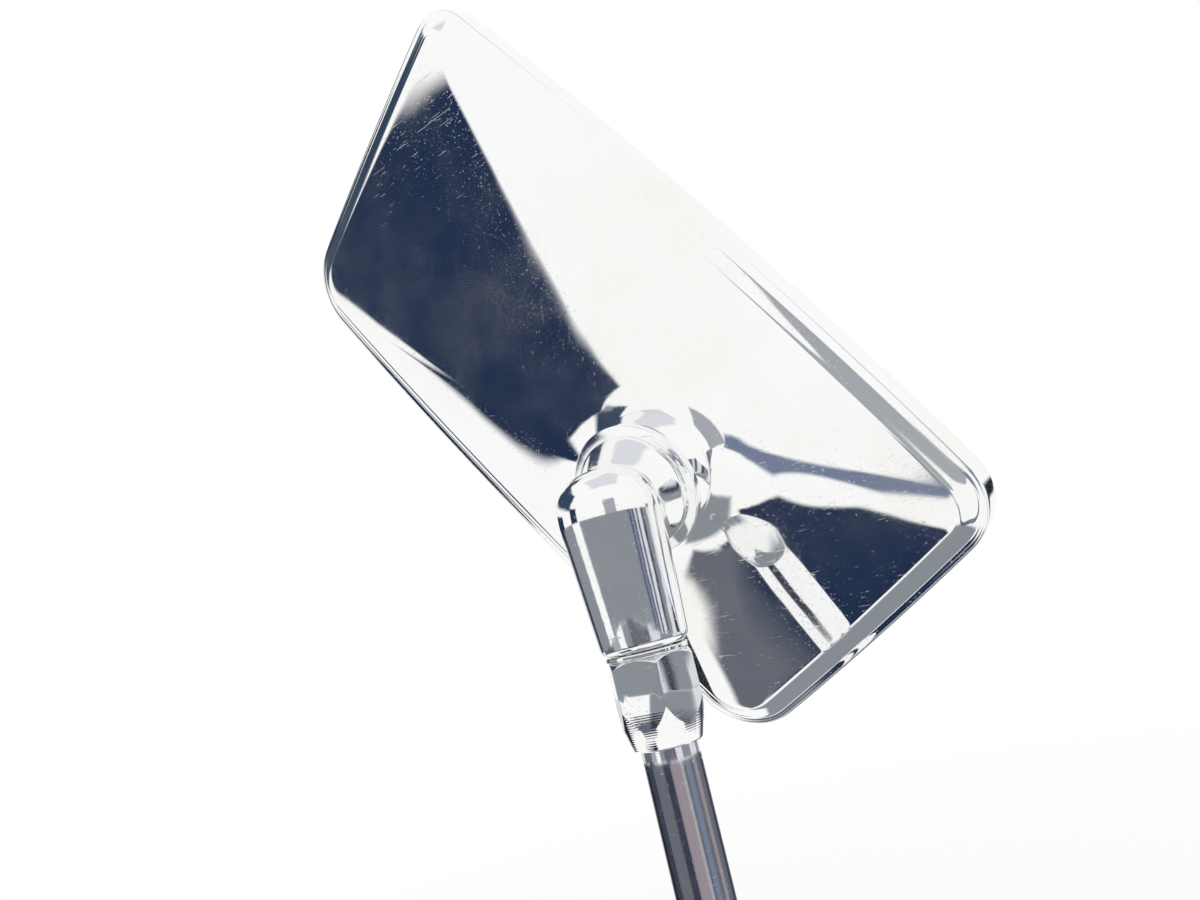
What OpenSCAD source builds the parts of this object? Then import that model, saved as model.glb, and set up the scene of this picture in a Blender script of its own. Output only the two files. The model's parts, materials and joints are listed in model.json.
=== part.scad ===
// Chromed motorcycle mirror: a rectangular head with a swept hip-roof back,
// carried by a ball joint on a cast elbow that screws onto a 10 mm rod stem.
// Millimetres. +Z runs up the stem, the glass looks towards -Y.
// The origin is the middle of the seat plane where the lower thread leaves the object.

/* [Stem] */
// Diameter of the plain rod
stem_diameter = 10; // [8:0.5:12]
// Major diameter of both threaded ends
thread_diameter = 9.8; // [7.6:0.1:9.9]
// Height of the elbow's middle above the seat plane
elbow_height = 120; // [90:1:170]
// Length of free thread below the seat plane
lower_thread_length = 20; // [14:1:30]
// Length of thread above the seat plane, where the lower lock nut runs
lower_thread_run = 15; // [12:1:20]
// How much smaller than the major diameter the thread's mean depth is, which stands for it inside nuts
thread_relief = 0.6; // [0.4:0.1:0.9]

/* [Nuts and washers] */
// Width across the flats of both lock nuts
nut_across_flats = 14; // [13:0.5:17]
// Height of the upper nut, with its turned taper
upper_nut_height = 15.2; // [13:0.2:19]
// Slope of the upper nut's taper against the stem, in degrees
upper_taper_angle = 16; // [14:1:24]
// Diameter of the upper nut at the foot of its taper
upper_foot_diameter = 12.1; // [11.4:0.1:13]
// Turn of the upper nut's flats about the stem
upper_nut_turn = 14; // [0:1:60]
// How far the upper nut can be wound down the top thread
upper_nut_travel = 1.4; // [1.3:0.1:2]
// Thickness of the washer under the elbow
lock_washer_thickness = 1; // [0.6:0.1:1.6]
// Diameter of the washer under the elbow
lock_washer_diameter = 14.6; // [13.5:0.1:16]
// Height of the lower lock nut
lower_nut_height = 7; // [5:0.5:9]
// Thickness of the plain washer on the seat plane
lower_washer_thickness = 1.6; // [1:0.1:2.4]
// Diameter of the plain washer on the seat plane
lower_washer_diameter = 18; // [16:0.5:22]

/* [Elbow] */
// Diameter of the barrel just below its dome
barrel_top_diameter = 18.6; // [17:0.2:20]
// Diameter of the barrel at its lower end
barrel_foot_diameter = 15.7; // [15:0.1:17]
// Length of the barrel below the elbow's middle
barrel_drop = 24.7; // [20:0.1:34]
// Lean of the barrel's outside away from the head, in degrees
barrel_lean = 2.5; // [0:0.5:3]
// Drop of the dome's edge below the elbow's middle
dome_drop = 1; // [0.5:0.1:3]
// Height of the dome over its edge
dome_height = 8.5; // [7.5:0.1:10]
// Rounding of the barrel's lower edge
barrel_edge = 1.6; // [0.8:0.1:2]
// Rise of the neck above the horizontal
neck_rise = 20; // [10:1:30]
// Diameter of the neck at the elbow's middle, where its bell starts
neck_waist_diameter = 16; // [12:0.2:16]
// Diameter of the neck where it meets the collar
neck_mouth_diameter = 21.6; // [20:0.2:24]
// Distance from the elbow's middle to the end of the neck
neck_length = 7.9; // [7:0.1:10]

/* [Ball joint] */
// Diameter of the ball
ball_diameter = 11; // [10:0.5:12]
// Diameter of the ball's shank
shank_diameter = 6; // [5:0.5:6.5]
// Distance from the elbow's middle to the ball's middle
ball_reach = 21.3; // [20.5:0.1:23]
// Depth of the shank's hole beyond the elbow's middle
shank_seat_depth = 3.5; // [2.5:0.5:4]
// Height of the ball's middle above the lip plane of the head
ball_height = 14.1; // [13.5:0.1:16]
// Outer radius of the round cap on the housing, about the ball's middle
cap_radius = 13.2; // [12.8:0.1:13.6]
// Thickness of the dust shield
shield_thickness = 1; // [0.8:0.1:1.1]
// Gap between the sliding round faces
slide_gap = 0.3; // [0.2:0.05:0.4]
// Diameter of the chromed collar
collar_diameter = 25.4; // [24.4:0.2:27]
// Height of the collar's visible side
collar_height = 1.8; // [1.6:0.1:2.6]
// Bore of the socket that holds the two seats
socket_diameter = 18; // [17:0.5:19]
// Wall of the socket
socket_wall = 2; // [1.6:0.2:2.6]
// Thickness of the pressure plate
plate_thickness = 1.4; // [1:0.1:1.8]
// Distance of the plate screws from the joint's axis
screw_circle_radius = 15.5; // [14.5:0.5:18]
// Number of plate screws
screw_count = 3; // [3:1:4]
// Diameter of the plate screws
screw_diameter = 3; // [2.5:0.5:3]
// Length of a plate screw under its head
screw_length = 7; // [6:0.5:8]
// Free height of the disc spring under the rear seat
spring_height = 1.5; // [1.2:0.1:1.8]
// Thickness of the disc spring
spring_thickness = 0.7; // [0.5:0.1:0.9]

/* [Head] */
// Length of the head over its crowned ends
head_length = 151.6; // [130:0.2:190]
// Height of the head over its crowned long sides
head_height = 81.6; // [70:0.2:110]
// Bulge of the two long sides
long_crown = 1.7; // [0.5:0.1:4]
// Bulge of the two short sides
short_crown = 0.4; // [0.3:0.1:3]
// Corner radius at the far end, upper corner
far_upper_corner = 8; // [7:0.5:20]
// Corner radius at the far end, lower corner
far_lower_corner = 13; // [9:0.5:20]
// Corner radius at the near end, upper corner
near_upper_corner = 11; // [9:0.5:20]
// Corner radius at the near end, lower corner
near_lower_corner = 14; // [9:0.5:20]
// Depth of the straight side wall behind the lip
side_depth = 6.5; // [6.3:0.1:8]
// Width of the flat border round the back
border_width = 1.7; // [1:0.1:2.4]
// Width of the sloped band between the border and the faces of the back, seen from behind
band_run = 3.1; // [2.4:0.1:4]
// Height of the sloped band
band_rise = 2.4; // [1.6:0.1:3]
// Wall of the housing
wall = 1.7; // [1.4:0.1:2]
// Place of the ball joint along the head, from its middle
joint_x = 25.2; // [10:0.2:40]
// Place of the ball joint across the head, from its middle
joint_y = 1.8; // [-8:0.2:8]
// Height of the socket's roof over the ball's middle
socket_rise = 4.4; // [4.2:0.1:5]
// Height of the back where it would meet the joint's cap without its flare
roof_height = 16.4; // [15:0.1:18]
// Reach of the trumpet flare round the cap
flare_reach = 3.4; // [2:0.1:6]

/* [Glass] */
// Thickness of the mirror glass
glass_thickness = 2; // [1.8:0.1:2.4]
// Radius of the glass's convex face
glass_radius = 1400; // [1200:50:2400]
// Width of rubber between the housing and the edge of the glass
seal_width = 1.1; // [0.8:0.1:1.5]
// Width of the rubber lips over the glass
seal_lip = 1.4; // [1:0.1:2.5]
// Thickness of the rubber lips over the glass
seal_lip_thickness = 0.7; // [0.5:0.1:0.9]
// Thickness of the foam behind the glass
foam_thickness = 0.8; // [0.6:0.1:1.2]
// Thickness of the carrier plate behind the foam
carrier_thickness = 1.4; // [1:0.1:1.6]

/* [Pose of the head in its rest position] */
// How far the back of the head looks below the horizontal
head_nod = 14.3; // [10:0.1:20]
// Turn of the head's long side about its own back-to-front axis
head_turn = 118.4; // [90:0.1:150]
// Largest tilt of the ball joint from its neutral position
tilt_limit = 16; // [12:0.5:17]

/* [Hidden] */
$fn = 64;

// Clearance of a shaft in its bore, on the radius
run_gap = 0.06;
// Clearance between flat faces that turn on each other
face_gap = 0.1;
// Clearance of a loose hole round a screw, on the radius
hole_gap = 0.1;
// Overlap that joins two volumes of one piece
weld = 0.4;

stem_r = stem_diameter / 2;
thread_r = thread_diameter / 2;
relief_r = thread_r - thread_relief / 2;
nut_corner_r = nut_across_flats / 2 / cos(30);
barrel_top_r = barrel_top_diameter / 2;
barrel_foot_r = barrel_foot_diameter / 2;
ball_r = ball_diameter / 2;
shank_r = shank_diameter / 2;
socket_r = socket_diameter / 2;

barrel_foot_z = elbow_height - barrel_drop;
dome_edge_z = elbow_height - dome_drop;
// The stem's top end stops this far under the elbow's middle, below the shank's hole
stem_stop = shank_seat_depth * sin(neck_rise) + shank_r * cos(neck_rise) + 1.6;
stem_top_z = elbow_height - stem_stop;
washer_z = barrel_foot_z - lock_washer_thickness - face_gap;
nut_top_z = washer_z;
nut_foot_z = nut_top_z - upper_nut_height;
// The top thread starts inside the taper of the nut
top_thread_z = nut_foot_z + 2;

// Radii about the ball's middle, from the housing's cap outwards
shield_inner = cap_radius + slide_gap;
shield_outer = shield_inner + shield_thickness;
bell_radius = shield_outer + slide_gap;

// Angles of the joint's cone, measured at the ball's middle from the head's axis
cap_opening_angle = asin(shank_r / cap_radius) + tilt_limit + 2;
cap_foot_angle = asin((collar_diameter / 2 - 1.3) / bell_radius) + tilt_limit;
shield_hole_angle = asin(shank_r / shield_inner) + tilt_limit - 3;
shield_rim_angle = 47;

cap_foot_r = cap_radius * sin(cap_foot_angle);
cap_foot_z = ball_height + cap_radius * cos(cap_foot_angle);
cap_mouth_r = cap_radius * sin(cap_opening_angle);
cap_mouth_z = ball_height + cap_radius * cos(cap_opening_angle);

// Stack of the joint inside the head, heights above the lip plane
seat_gap = 0.1;
seat_pole = 1.1;
socket_top_z = ball_height + socket_rise;
rear_seat_back_z = ball_height - ball_r - seat_gap - seat_pole;
rear_seat_shoulder_z = ball_height - ball_r + 1.3;
plate_top_z = rear_seat_shoulder_z - spring_height;
plate_back_z = plate_top_z - plate_thickness;
seat_boss_r = 5.4;
seat_split = 0.25;
screw_head_r = screw_diameter * 0.9;
screw_head_height = 1.6;
screw_boss_r = screw_diameter / 2 + 1.6;
pilot_r = screw_diameter / 2 - 0.25;

// Heights and insets of the glass and what holds it
glass_front_z = 0.2;
ledge_width = 1.2;
fit_gap = 0.1;
seal_inset = wall + fit_gap;
glass_inset = seal_inset + seal_width;
lip_inset = glass_inset + seal_lip;
// The ledge clears the back of the seal at the corner that lies furthest out
seal_reach = norm([head_length, head_height] / 2 - [seal_inset, seal_inset])
    - (sqrt(2) - 1) * (min(far_upper_corner, near_upper_corner) - seal_inset);
ledge_z = glass_front_z + seal_reach * seal_reach / 2 / glass_radius + glass_thickness
    + seal_lip_thickness - 0.05;
carrier_window_r = 22;
// The carrier stays this far inside the seal's lips, clear of the sloped band
carrier_edge = 3;

// Frame of the neck: the local Z axis runs from the elbow's middle to the ball
module in_neck() {
    translate([0, 0, elbow_height])
        rotate([90 - neck_rise, 0, 0])
            children();
}

// Frame of the head: local Z points out of its back, X along its length, 0 at the lip plane
module in_head() {
    in_neck_point = [0, -ball_reach * cos(neck_rise), elbow_height + ball_reach * sin(neck_rise)];
    translate(in_neck_point)
        rotate([-90 - head_nod, 0, 0])
            rotate([0, 0, head_turn])
                translate([-joint_x, -joint_y, -ball_height])
                    children();
}

// Frame of the ball joint inside the head: local Z is the head's axis, 0 at the lip plane
module at_joint() {
    translate([joint_x, joint_y, 0])
        children();
}

// Points along an arc in a profile
function arc(centre, radius, from, to, steps) =
    [for (i = [0:steps]) let (a = from + (to - from) * i / steps)
        centre + radius * [cos(a), sin(a)]];

// Corner radii in the order +X+Y, -X+Y, -X-Y, +X-Y
corner_radii = [near_upper_corner, far_upper_corner, far_lower_corner, near_lower_corner];
corner_steps = 8;
edge_steps = 7;

// A crowned rounded rectangle. Each corner is an arc that stops short of the quarter turn,
// and each side is a shallow bow that leaves the arcs along their own direction.
function bow_angle(length, crown) = atan(4 * crown / length);

function corner_arc(index, half, radius, crowns) = let (
        side = [[1, 1], [-1, 1], [-1, -1], [1, -1]][index],
        centre = [side[0] * (half[0] - radius), side[1] * (half[1] - radius)],
        trim_x = bow_angle(2 * half[0] - 2 * radius, crowns[0]),
        trim_y = bow_angle(2 * half[1] - 2 * radius, crowns[1]),
        first = index % 2 == 0 ? trim_y : trim_x,
        last = index % 2 == 0 ? trim_x : trim_y
    ) arc(centre, radius, index * 90 + first, index * 90 + 90 - last, corner_steps);

function bow(start, end, crown) = let (
        along = end - start,
        out = [along[1], -along[0]] / norm(along)
    ) [for (i = [1:edge_steps - 1]) let (s = 2 * i / edge_steps - 1)
        start + along * (i / edge_steps) + out * crown * (1 - s * s)];

function crowned_rectangle(half, radii, crowns) = let (
        corners = [for (i = [0:3]) corner_arc(i, half, radii[i], crowns)]
    ) [for (i = [0:3]) each concat(
        corners[i],
        bow(corners[i][corner_steps], corners[(i + 1) % 4][0], crowns[i % 2]))];

// The head's outline, moved in by an inset
function head_outline(inset) = crowned_rectangle(
    [head_length / 2 - short_crown - inset, head_height / 2 - long_crown - inset],
    [for (r = corner_radii) max(r - inset, 1)],
    [long_crown, short_crown]);

ring_points = len(head_outline(0));

// The back between the sloped band and the cap. Share 0 is the band's inner edge, share 1 the cap.
roof_inset = border_width + band_run;
roof_foot_z = side_depth + band_rise;

function mix(a, b, share) = a * (1 - share) + b * share;

function roof_plan(share, inset, cap_r) = let (
        outer = roof_inset + inset,
        half = [head_length / 2 - short_crown - outer, head_height / 2 - long_crown - outer],
        middle = mix([0, 0], [joint_x, joint_y], share),
        plan = crowned_rectangle(
            mix(half, [cap_r, cap_r], share),
            [for (r = corner_radii) mix(max(r - outer, 2), cap_r * 0.98, share)],
            mix([long_crown, short_crown], [0.001, 0.001], share)),
        rounding = pow(share, 4)
    ) [for (i = [0:ring_points - 1]) let (
            turn = 45 / (corner_steps + edge_steps) + 360 * i / ring_points,
            on_cap = [joint_x, joint_y] + cap_r * [cos(turn), sin(turn)]
        ) mix(plan[i] + middle, on_cap, rounding)];

// Height of the back: flat faces from the band to the cap, lifted by the flare near the cap
function roof_z(point, share, cap_r) = let (
        away = norm(point - [joint_x, joint_y]) - cap_r
    ) mix(roof_foot_z, roof_height, share)
        + (cap_foot_z - roof_height) * exp(-max(away, 0) / flare_reach);

function at_height(points, z) = [for (p = points) [p[0], p[1], z]];

function roof_ring(share, inset, drop, cap_r) =
    [for (p = roof_plan(share, inset, cap_r)) [p[0], p[1], roof_z(p, share, cap_r) - drop]];

// A ring inside the cap's wall, where the skins end and the socket takes over
function cap_weld_ring(inset, drop) = [for (i = [0:ring_points - 1]) let (
        turn = 45 / (corner_steps + edge_steps) + 360 * i / ring_points
    ) [joint_x + (cap_foot_r - inset) * cos(turn), joint_y + (cap_foot_r - inset) * sin(turn),
       cap_foot_z - drop]];

// Points of the rim's profile, as inset and height: wall, rounded edge, flat border, sloped band
rim_profile = [
    [0, 0],
    [0, side_depth - 0.5],
    [0.15, side_depth - 0.15],
    [0.5, side_depth],
    [border_width - 0.3, side_depth + 0.05],
    [border_width + 0.4, side_depth + 0.3],
    [roof_inset - 0.6, roof_foot_z - 0.3]];
roof_shares = [0.03, 0.25, 0.5, 0.7, 0.82, 0.9, 0.95, 0.98, 1];
inner_shares = [1, 0.95, 0.87, 0.7, 0.4, 0];

outer_rings = concat(
    [for (p = rim_profile) at_height(head_outline(p[0]), p[1])],
    [for (s = roof_shares) roof_ring(s, 0, 0, cap_foot_r)],
    [cap_weld_ring(0.8, 0)]);

inner_rings = concat(
    [for (s = inner_shares) roof_ring(s, wall * 0.9, wall, cap_foot_r - wall)],
    [at_height(head_outline(wall + ledge_width), ledge_z)],
    [at_height(head_outline(wall), ledge_z)],
    [at_height(head_outline(wall), 0)]);

// A closed skin through rings of equal length, with the last ring joined to the first
module ring_skin(rings) {
    count = len(rings);
    size = len(rings[0]);
    faces = [for (r = [0:count - 1], i = [0:size - 1]) let (
            a = r * size + i,
            b = r * size + (i + 1) % size,
            c = ((r + 1) % count) * size + i,
            d = ((r + 1) % count) * size + (i + 1) % size
        ) each [[a, c, b], [b, c, d]]];
    polyhedron(points = [for (ring = rings) each ring], faces = faces, convexity = 8);
}

module tube(outer, inner, z0, z1) {
    translate([0, 0, z0])
        difference() {
            cylinder(h = z1 - z0, r = outer);
            translate([0, 0, -1])
                cylinder(h = z1 - z0 + 2, r = inner);
        }
}

module screw_places() {
    for (i = [0:screw_count - 1])
        at_joint()
            rotate([0, 0, 90 + 360 * i / screw_count])
                translate([screw_circle_radius, 0, 0])
                    children();
}

module hexagon(height) {
    cylinder(h = height, r = nut_corner_r, $fn = 6);
}

// A turned profile that chamfers both ends of a nut
module nut_envelope(foot_r, taper, chamfer, height) {
    rotate_extrude()
        polygon([
            [0, 0],
            [foot_r, 0],
            [nut_corner_r + 0.05, taper],
            [nut_corner_r + 0.05, height - chamfer],
            [nut_across_flats / 2 - 0.1, height],
            [0, height]]);
}

module stem() {
    lead = 1;
    color("gainsboro")
        rotate_extrude()
            polygon([
                [0, -lower_thread_length],
                [thread_r - lead, -lower_thread_length],
                [thread_r, lead - lower_thread_length],
                [thread_r, 0],
                [relief_r, 0],
                [relief_r, lower_thread_run],
                [stem_r, lower_thread_run],
                [stem_r, top_thread_z],
                [relief_r, top_thread_z],
                [relief_r, stem_top_z - lead],
                [relief_r - lead, stem_top_z],
                [0, stem_top_z]]);
}

module lower_washer() {
    color("lightgray")
        tube(lower_washer_diameter / 2, thread_r + 0.3, 0, lower_washer_thickness);
}

module lower_lock_nut() {
    chamfer = (nut_corner_r - nut_across_flats / 2) * tan(30);
    color("lightgray")
        translate([0, 0, lower_washer_thickness])
            difference() {
                intersection() {
                    hexagon(lower_nut_height);
                    nut_envelope(nut_across_flats / 2 - 0.1, chamfer, chamfer, lower_nut_height);
                }
                translate([0, 0, -1])
                    cylinder(h = lower_nut_height + 2, r = relief_r + run_gap);
            }
}

module lock_washer() {
    color("whitesmoke")
        tube(lock_washer_diameter / 2, thread_r + hole_gap, washer_z, washer_z + lock_washer_thickness);
}

module lock_nut() {
    foot_r = upper_foot_diameter / 2;
    // The taper runs on until it passes the hexagon's corners
    taper = (nut_corner_r + 0.05 - foot_r) / tan(upper_taper_angle);
    chamfer = nut_corner_r - nut_across_flats / 2;
    color("silver")
        translate([0, 0, nut_foot_z])
            difference() {
                intersection() {
                    rotate([0, 0, upper_nut_turn])
                        hexagon(upper_nut_height);
                    nut_envelope(foot_r, taper, chamfer, upper_nut_height);
                }
                translate([0, 0, -1])
                    cylinder(h = upper_nut_height + 2, r = relief_r + run_gap);
                // The foot is opened to pass the plain rod when the nut is wound down
                translate([0, 0, -1])
                    cylinder(h = top_thread_z - nut_foot_z + upper_nut_travel + 1.2, r = stem_r + 0.15);
            }
}

// The barrel: a turned taper with a flattened dome and a rounded foot.
// Its outside leans back a little about the middle of its foot, which is then cut level.
module barrel() {
    spare = 1;
    body_height = dome_edge_z - barrel_foot_z;
    foot = arc([barrel_foot_r - barrel_edge, barrel_edge], barrel_edge, -60, 0, 6);
    dome = [for (i = [0:10])
        [barrel_top_r * pow(cos(9 * i), 0.8), body_height + dome_height * pow(sin(9 * i), 0.8)]];
    translate([0, 0, barrel_foot_z])
        difference() {
            rotate([-barrel_lean, 0, 0])
                rotate_extrude()
                    polygon(concat([[0, -spare], [foot[0][0] - 0.5, -spare]], foot, dome));
            translate([0, 0, -5])
                cylinder(h = 5, r = barrel_foot_r + 5);
        }
}

// The neck: a bell that opens from the barrel to the collar
module neck() {
    mouth_r = neck_mouth_diameter / 2;
    lead = 1;
    bell = [for (i = [0:8]) let (s = i / 8)
        [mix(neck_waist_diameter / 2, mouth_r, pow(s, 1.25)), (neck_length - lead) * s]];
    in_neck()
        rotate_extrude()
            polygon(concat([[0, 0]], bell, [[mouth_r, neck_length], [0, neck_length]]));
}

module elbow() {
    color("silver")
        difference() {
            union() {
                barrel();
                neck();
            }
            // Blind thread for the stem, from below
            translate([0, 0, barrel_foot_z - 1])
                cylinder(h = stem_top_z + face_gap - barrel_foot_z + 1, r = relief_r + run_gap);
            // Blind hole for the ball's shank, from the head's side
            in_neck()
                translate([0, 0, -shank_seat_depth])
                    cylinder(h = ball_reach, r = shank_r);
            // Round hollow in the mouth, in which the shield slides
            in_neck()
                translate([0, 0, ball_reach])
                    sphere(r = bell_radius);
        }
}

module ball_stud() {
    color("slategray")
        in_neck()
            union() {
                translate([0, 0, -shank_seat_depth])
                    cylinder(h = shank_seat_depth + ball_reach, r = shank_r);
                translate([0, 0, ball_reach])
                    sphere(r = ball_r);
            }
}

module neck_collar() {
    front = neck_length + face_gap;
    color("white")
        in_neck()
            difference() {
                translate([0, 0, front])
                    cylinder(h = collar_height, r = collar_diameter / 2);
                translate([0, 0, ball_reach])
                    sphere(r = bell_radius);
            }
}

// A zone of a round shell about the ball's middle, in the joint's frame
module shell_zone(inner, outer, from, to) {
    steps = 10;
    outside = arc([0, 0], outer, 90 - from, 90 - to, steps);
    inside = arc([0, 0], inner, 90 - to, 90 - from, steps);
    rotate_extrude()
        polygon(concat(outside, inside));
}

module dust_shield() {
    color("dimgray")
        in_head()
            at_joint()
                translate([0, 0, ball_height])
                    shell_zone(shield_inner, shield_outer, shield_hole_angle, shield_rim_angle);
}

// The round cap and the socket under it, as one turned shape
module socket() {
    foot_z = plate_top_z + 0.1;
    cap = arc([0, ball_height], cap_radius, 91 - cap_foot_angle, 90 - cap_opening_angle, 10);
    inner_mouth_r = shank_r / cos(tilt_limit) + (socket_top_z - ball_height) * tan(tilt_limit) + 0.5;
    at_joint()
        rotate_extrude()
            polygon(concat(
                [[socket_r, foot_z],
                 [socket_r + socket_wall, foot_z],
                 [socket_r + socket_wall, cap_foot_z - wall],
                 [cap[0][0], cap_foot_z - 0.6]],
                cap,
                [[inner_mouth_r, socket_top_z],
                 [socket_r, socket_top_z]]));
}

// Height of the back's outer skin over a distance from the joint's axis, on its steepest face
steepest = (roof_height - roof_foot_z) / (min(
    head_length / 2 - short_crown - abs(joint_x),
    head_height / 2 - long_crown - abs(joint_y)) - roof_inset - cap_foot_r);
function skin_z(r) = roof_height - steepest * (r - cap_foot_r)
    + (cap_foot_z - roof_height) * exp(-(r - cap_foot_r) / flare_reach);

// Round posts for the plate screws, which end in the middle of the back's wall
module screw_bosses() {
    reach = screw_circle_radius + screw_boss_r + 1;
    crown = [for (i = [0:4]) let (r = mix(reach, cap_foot_r + 0.1, i / 4)) [r, skin_z(r) - wall / 2]];
    intersection() {
        screw_places()
            translate([0, 0, plate_top_z])
                cylinder(h = cap_foot_z - plate_top_z, r = screw_boss_r);
        at_joint()
            rotate_extrude()
                polygon(concat([[0, plate_top_z - 1], [reach, plate_top_z - 1]], crown, [[0, crown[4][1]]]));
    }
}

module housing() {
    color("silver")
        in_head()
            difference() {
                union() {
                    ring_skin(concat(outer_rings, inner_rings));
                    socket();
                    screw_bosses();
                }
                screw_places()
                    translate([0, 0, plate_top_z - 1])
                        cylinder(h = screw_length - plate_thickness + 1.3, r = pilot_r);
            }
}

module ball_seat_front() {
    // The cone that the shank sweeps out of the ball
    sweep = tan(tilt_limit);
    color("ivory")
        in_head()
            at_joint()
                difference() {
                    translate([0, 0, ball_height + seat_split])
                        cylinder(h = socket_top_z - ball_height - seat_split, r = socket_r - seat_gap);
                    translate([0, 0, ball_height])
                        sphere(r = ball_r + seat_gap);
                    translate([0, 0, ball_height])
                        cylinder(h = 6, r1 = shank_r / cos(tilt_limit) + 0.3,
                                 r2 = shank_r / cos(tilt_limit) + 0.3 + 6 * sweep);
                }
}

module ball_seat_rear() {
    color("ivory")
        in_head()
            at_joint()
                difference() {
                    union() {
                        translate([0, 0, rear_seat_shoulder_z])
                            cylinder(h = ball_height - seat_split - rear_seat_shoulder_z,
                                     r = socket_r - seat_gap);
                        translate([0, 0, rear_seat_back_z])
                            cylinder(h = rear_seat_shoulder_z - rear_seat_back_z + weld,
                                     r = seat_boss_r);
                    }
                    translate([0, 0, ball_height])
                        sphere(r = ball_r + seat_gap);
                }
}

module disc_spring() {
    inner = seat_boss_r + 0.3;
    outer = socket_r - 0.4;
    color("slategray")
        in_head()
            at_joint()
                rotate_extrude()
                    polygon([
                        [inner, rear_seat_shoulder_z - spring_thickness],
                        [outer, plate_top_z],
                        [outer, plate_top_z + spring_thickness],
                        [inner, rear_seat_shoulder_z]]);
}

module pressure_plate() {
    color("darkgray")
        in_head()
            difference() {
                at_joint()
                    translate([0, 0, plate_back_z])
                        cylinder(h = plate_thickness, r = screw_circle_radius + screw_boss_r + 0.6);
                at_joint()
                    translate([0, 0, plate_back_z - 1])
                        cylinder(h = plate_thickness + 2, r = seat_boss_r + 0.3);
                screw_places()
                    translate([0, 0, plate_back_z - 1])
                        cylinder(h = plate_thickness + 2, r = screw_diameter / 2 + hole_gap);
            }
}

module plate_screws() {
    color("dimgray")
        in_head()
            screw_places()
                union() {
                    translate([0, 0, plate_back_z - screw_head_height])
                        cylinder(h = screw_head_height, r = screw_head_r);
                    translate([0, 0, plate_back_z - weld])
                        cylinder(h = screw_length + weld, r = pilot_r - 0.02);
                }
}

// A dished slab that follows the glass: the layer between two depths behind its front face
module dished_layer(from, to, reach) {
    steps = 12;
    function front_z(rho, depth) =
        glass_front_z + glass_radius - sqrt(pow(glass_radius - depth, 2) - rho * rho);
    near = [for (i = [0:steps]) let (rho = reach * i / steps) [rho, front_z(rho, from)]];
    far = [for (i = [steps:-1:0]) let (rho = reach * i / steps) [rho, front_z(rho, to)]];
    rotate_extrude()
        polygon(concat(near, far));
}

// Far enough to pass the head's corners
head_reach = norm([head_length, head_height]) / 2 + 4;

module outline_slab(inset) {
    translate([0, 0, -4])
        linear_extrude(height = 20)
            polygon(head_outline(inset));
}

module layer(inset, from, to) {
    intersection() {
        outline_slab(inset);
        dished_layer(from, to, head_reach);
    }
}

foam_back = glass_thickness + foam_thickness;
carrier_back = foam_back + carrier_thickness;

module mirror_glass() {
    color("lightsteelblue")
        in_head()
            layer(glass_inset, 0, glass_thickness);
}

module foam_pad() {
    color("dimgray")
        in_head()
            difference() {
                layer(lip_inset + fit_gap, glass_thickness, foam_back);
                carrier_window();
            }
}

// The window behind the joint, which leaves room for the pressure plate and its screws
module carrier_window() {
    at_joint()
        cylinder(h = 20, r = carrier_window_r);
}

module glass_carrier() {
    rib_height = 1.2;
    rib_width = 1.4;
    rib_pitch = 18;
    color("darkslategray")
        in_head()
            difference() {
                union() {
                    layer(lip_inset + carrier_edge, foam_back, carrier_back);
                    // Stiffening ribs on the far half, where the back is deep enough
                    intersection() {
                        layer(lip_inset + 6, carrier_back - weld, carrier_back + rib_height);
                        for (i = [1:3])
                            translate([joint_x - carrier_window_r - i * rib_pitch, -head_height / 2, 0])
                                cube([rib_width, head_height, 20]);
                    }
                }
                carrier_window();
            }
}

module rim_seal() {
    color("black")
        in_head()
            difference() {
                union() {
                    // Channel that grips the edge of the glass
                    layer(seal_inset, -seal_lip_thickness, glass_thickness + seal_lip_thickness);
                    // Web that stands on the housing's ledge
                    translate([0, 0, glass_front_z + 1])
                        linear_extrude(height = ledge_z - glass_front_z - 1)
                            polygon(head_outline(seal_inset));
                }
                // Nothing inside the lips
                outline_slab(lip_inset);
                // The space of the glass and everything behind it
                intersection() {
                    outline_slab(glass_inset - 0.05);
                    dished_layer(0, glass_thickness, head_reach);
                }
                intersection() {
                    outline_slab(glass_inset);
                    dished_layer(glass_thickness + seal_lip_thickness, 12, head_reach);
                }
            }
}

stem();
lower_washer();
lower_lock_nut();
lock_washer();
lock_nut();
elbow();
ball_stud();
neck_collar();
dust_shield();
housing();
ball_seat_front();
ball_seat_rear();
disc_spring();
pressure_plate();
plate_screws();
glass_carrier();
foam_pad();
mirror_glass();
rim_seal();
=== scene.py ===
# %% [markdown]
# A chromed motorcycle mirror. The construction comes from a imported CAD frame, and this lesson
# dresses it: smooth polished shells, turned nuts, a rolled thread, and finishes made of nodes.
# The frame is opened first, because every piece takes its place and its size from it.

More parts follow.
